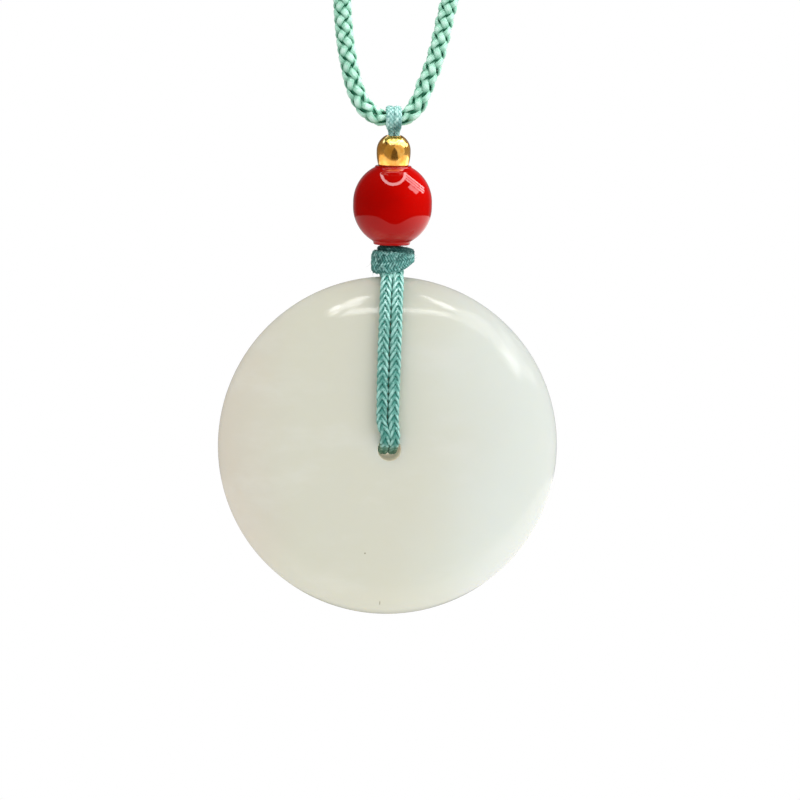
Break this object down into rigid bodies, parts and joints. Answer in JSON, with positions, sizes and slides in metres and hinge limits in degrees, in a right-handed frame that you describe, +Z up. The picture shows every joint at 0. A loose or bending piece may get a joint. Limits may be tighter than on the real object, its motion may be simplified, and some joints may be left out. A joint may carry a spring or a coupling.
{
  "type": "jade disc pendant on a braided neck cord",
  "caption": "Round plump jade disc with a small middle hole, hung under a knot, a red bead and a gold bead from a braided neck cord.",
  "frame": {"origin": "on the underside of the wrap at the nape, where the neck carries the cord, in the middle plane of the pendant", "axes": "+Z up along the hanging pendant, the front of the disc faces -Y, +X to the right as seen from the front"},
  "size_m": [0.1162, 0.0128, 0.3566],
  "materials": {
    "jade": "polished, slightly translucent pale nephrite",
    "thin_cord": "fine glossy braid, teal green",
    "red_glaze": "high gloss deep red",
    "gold": "polished gold colour",
    "neck_cord": "round four-strand braid, mint green"
  },
  "bodies": {
    "neck_loop": {"neck_cord": "neck_cord", "nape_wrap": "neck_cord"},
    "pendant": {"top_loop": "thin_cord", "gold_bead": "gold", "red_bead": "red_glaze", "knot": "thin_cord", "loop_left": "thin_cord", "loop_right": "thin_cord"},
    "disc": {"disc": "jade"}
  },
  "joints": [
    {"name": "pendant_swing", "type": "hinge", "parent": "neck_loop", "child": "pendant", "pos_m": [0, 0, -0.28795], "axis": [1, 0, 0], "range_deg": [-80, 80]},
    {"name": "disc_spin", "type": "hinge", "parent": "pendant", "child": "disc", "pos_m": [0, 0, -0.33049], "axis": [0, 1, 0], "continuous": true}
  ]
}
